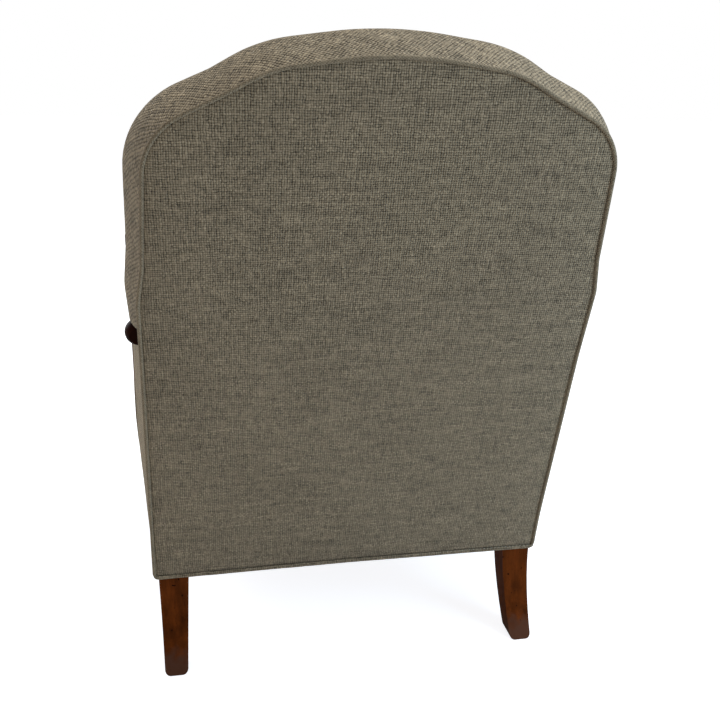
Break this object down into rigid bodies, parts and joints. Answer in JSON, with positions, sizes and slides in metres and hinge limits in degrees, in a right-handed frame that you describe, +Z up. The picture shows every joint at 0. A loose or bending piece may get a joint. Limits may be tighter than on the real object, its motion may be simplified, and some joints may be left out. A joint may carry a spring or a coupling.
{
  "type": "upholstered_armchair",
  "caption": "Upholstered armchair with a raked, boxed camel back, padded arms on dark wood rails, sabre back legs and a loose seat cushion",
  "frame": {"origin": "on the floor, under the middle of the bounding box", "axes": "+X is the sitter's left, -Y is the front, +Z is up"},
  "size_m": [0.741, 0.8159, 0.9829],
  "materials": {
    "cloth": "coarse linen-look weave, matte",
    "black_cloth": "thin woven, matte",
    "jute": "coarse weave, matte",
    "wadding": "fibrous, matte",
    "foam": "open cell, matte",
    "show_wood": "dark polished",
    "leg_wood": "red-brown polished, scuffed at the feet",
    "frame_wood": "unfinished beech",
    "steel": "plain wire and hardware"
  },
  "bodies": {
    "chair_frame": {"back_leg_left": "leg_wood", "back_leg_right": "leg_wood", "front_leg_left": "leg_wood", "front_leg_right": "leg_wood", "front_seat_rail": "frame_wood", "back_seat_rail": "frame_wood", "side_seat_rail_left": "frame_wood", "side_seat_rail_right": "frame_wood", "corner_blocks": "frame_wood", "corner_block_screws": "steel", "frame_dowels": "frame_wood", "back_top_rail": "frame_wood", "back_lower_rail": "frame_wood", "arm_rail_left": "show_wood", "arm_rail_right": "show_wood", "arm_support_left": "show_wood", "arm_support_right": "show_wood", "arm_tack_rail_left": "frame_wood", "arm_tack_rail_right": "frame_wood", "seat_webbing_long": "jute", "seat_webbing_cross": "jute", "seat_springs": "steel", "seat_hessian": "jute", "seat_stuffing": "wadding", "seat_platform_cloth": "cloth", "dust_cover": "black_cloth", "dust_cover_tacks": "steel", "back_webbing_upright": "jute", "back_webbing_cross": "jute", "back_hessian": "jute", "back_stuffing": "wadding", "inside_back_cover": "cloth", "outside_back_cover": "cloth", "back_border": "cloth", "rear_piping": "cloth", "front_piping": "cloth", "side_cover_left": "cloth", "side_cover_right": "cloth", "arm_hessian_left": "jute", "arm_hessian_right": "jute", "arm_stuffing_left": "wadding", "arm_stuffing_right": "wadding", "inside_arm_cover_left": "cloth", "inside_arm_cover_right": "cloth", "front_border_wadding": "wadding", "front_border_cover": "cloth"},
    "seat_cushion": {"cushion_cover": "cloth", "cushion_foam": "foam", "cushion_piping_top": "cloth", "cushion_piping_bottom": "cloth"}
  },
  "joints": [
    {"name": "seat_cushion_lift", "type": "slide", "parent": "chair_frame", "child": "seat_cushion", "axis": [0, 0, 1], "range_m": [0, 0.3]}
  ]
}
